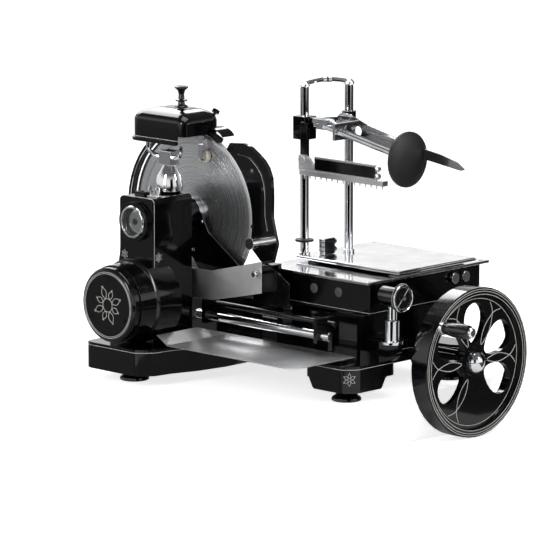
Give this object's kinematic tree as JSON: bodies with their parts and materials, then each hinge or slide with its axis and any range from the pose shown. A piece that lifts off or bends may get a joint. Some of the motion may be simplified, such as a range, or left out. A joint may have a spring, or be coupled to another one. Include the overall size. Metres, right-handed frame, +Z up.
{
  "type": "hand crank meat slicer",
  "caption": "Hand-cranked rotary meat slicer: a flywheel and gear train turn a round blade beside a sliding carriage with a cross-feed table, meat press and sharpener.",
  "frame": {"origin": "the plane of the feet, straight below the centre of the blade's edge plane", "axes": "+X to the operator's right along the blade's shaft, +Y away from the operator along the carriage's travel, +Z up"},
  "size_m": [0.5678, 0.7504, 0.6243],
  "materials": {
    "black_enamel": "glossy black enamel",
    "polished_steel": "polished",
    "chrome": "mirror chrome",
    "machined_iron": "machined",
    "dark_polished_steel": "dark polished",
    "sight_glass": "clear",
    "grinding_stone": "fine grit",
    "black_grip": "gloss black",
    "black_guard": "satin black"
  },
  "bodies": {
    "stand": {"base_casting": "black_enamel", "blade_boss": "black_enamel", "catch_knob": "chrome", "catch_plate": "polished_steel", "column_casting": "black_enamel", "column_oilers": "chrome", "deflector_leaf": "dark_polished_steel", "dial_barrel": "dark_polished_steel", "dial_stem": "chrome", "drive_chain": "machined_iron", "drive_cover": "black_enamel", "drive_housing": "black_enamel", "foot_front_left": "black_enamel", "foot_front_right": "black_enamel", "foot_rear_left": "black_enamel", "foot_rear_right": "black_enamel", "guard_ring": "black_enamel", "guide_rod_lower": "chrome", "guide_rod_upper": "dark_polished_steel", "sharpener_bell": "polished_steel", "sharpener_hood": "black_enamel", "sharpener_yoke": "chrome", "side_plate": "dark_polished_steel", "sight_bezel": "chrome", "sight_glass": "sight_glass", "slice_tray": "polished_steel"},
    "flywheel": {"flywheel": "black_enamel", "hub_cap": "chrome", "flywheel_shaft": "machined_iron", "handle_spindle": "chrome"},
    "grip": {"handle_grip": "black_grip"},
    "cross": {"cross_shaft": "machined_iron"},
    "drum": {"drum_wheel": "machined_iron"},
    "blade": {"blade": "polished_steel", "blade_shaft": "chrome", "blade_nut": "chrome"},
    "carriage": {"carriage_body": "black_enamel", "deck_plate": "polished_steel", "front_knob_left": "chrome", "front_knob_right": "chrome"},
    "screw": {"feed_screw": "machined_iron"},
    "table": {"feed_table": "polished_steel", "table_clamp": "chrome", "post_left": "chrome", "post_right": "chrome", "post_crossbar": "chrome", "post_collar": "black_guard"},
    "press": {"press_head": "black_enamel"},
    "tooth_bar": {"toothed_bar": "polished_steel"},
    "lever": {"lever_rods": "chrome", "lever_plate": "polished_steel", "guard_disc": "black_guard"},
    "gauge": {"gauge_plate": "black_enamel", "gauge_handle": "chrome"},
    "dial": {"thickness_dial": "chrome"},
    "sharpener": {"stone_carrier": "chrome"},
    "finial": {"hood_finial": "black_grip"},
    "left_stone": {"stone_left": "grinding_stone"},
    "right_stone": {"stone_right": "grinding_stone"}
  },
  "joints": [
    {"name": "flywheel_spin", "type": "hinge", "parent": "stand", "child": "flywheel", "pos_m": [0.195, -0.499, 0.052], "axis": [0, 1, 0], "continuous": true},
    {"name": "grip_spin", "type": "hinge", "parent": "flywheel", "child": "grip", "pos_m": [0.10096, -0.55, 0.12815], "axis": [0, 1, 0], "continuous": true},
    {"name": "cross_spin", "type": "hinge", "parent": "stand", "child": "cross", "pos_m": [0, 0, 0.052], "axis": [1, 0, 0], "continuous": true},
    {"name": "drum_spin", "type": "hinge", "parent": "stand", "child": "drum", "pos_m": [-0.129, 0, 0.145], "axis": [1, 0, 0], "continuous": true},
    {"name": "blade_spin", "type": "hinge", "parent": "stand", "child": "blade", "pos_m": [0, 0, 0.289], "axis": [1, 0, 0], "continuous": true},
    {"name": "carriage_slide", "type": "slide", "parent": "stand", "child": "carriage", "axis": [0, 1, 0], "range_m": [0, 0.25]},
    {"name": "table_slide", "type": "slide", "parent": "carriage", "child": "table", "axis": [1, 0, 0], "range_m": [-0.06, 0]},
    {"name": "feed_screw_spin", "type": "hinge", "parent": "carriage", "child": "screw", "pos_m": [0.18, -0.3, 0.176], "axis": [1, 0, 0], "range_deg": [-4330, 10]},
    {"name": "press_slide", "type": "slide", "parent": "table", "child": "press", "axis": [0, 0, 1], "range_m": [-0.09, 0]},
    {"name": "tooth_bar_tilt", "type": "hinge", "parent": "press", "child": "tooth_bar", "pos_m": [0.085, -0.19, 0.396], "axis": [1, 0, 0], "range_deg": [-8, 8]},
    {"name": "lever_tilt", "type": "hinge", "parent": "press", "child": "lever", "pos_m": [0.107, -0.212, 0.462], "axis": [1, 0, 0], "range_deg": [-20, 8]},
    {"name": "gauge_slide", "type": "slide", "parent": "stand", "child": "gauge", "axis": [1, 0, 0], "range_m": [-0.005, 0]},
    {"name": "dial_turn", "type": "hinge", "parent": "stand", "child": "dial", "pos_m": [0.046, -0.47, 0.183], "axis": [0, 1, 0], "range_deg": [-272, 2]},
    {"name": "stone_slide", "type": "slide", "parent": "stand", "child": "sharpener", "axis": [0, 0, 1], "range_m": [-0.006, 0]},
    {"name": "finial_turn", "type": "hinge", "parent": "stand", "child": "finial", "pos_m": [-0.022, 0.012, 0.49], "axis": [0, 0, 1], "range_deg": [-362, 2]},
    {"name": "stone_left_spin", "type": "hinge", "parent": "sharpener", "child": "left_stone", "pos_m": [-0.009, -0.034, 0.396], "axis": [1, 0, 0], "continuous": true},
    {"name": "stone_right_spin", "type": "hinge", "parent": "sharpener", "child": "right_stone", "pos_m": [0.005, 0.04, 0.427], "axis": [1, 0, 0], "continuous": true}
  ],
  "couplings": [
    {"joint": "cross_spin", "follows": "flywheel_spin", "ratio": -2},
    {"joint": "drum_spin", "follows": "flywheel_spin", "ratio": 1},
    {"joint": "blade_spin", "follows": "flywheel_spin", "ratio": 3},
    {"joint": "feed_screw_spin", "follows": "table_slide", "rad_per_m": 1256.6},
    {"joint": "dial_turn", "follows": "gauge_slide", "rad_per_m": 942.48},
    {"joint": "finial_turn", "follows": "stone_slide", "rad_per_m": 1047.2}
  ]
}
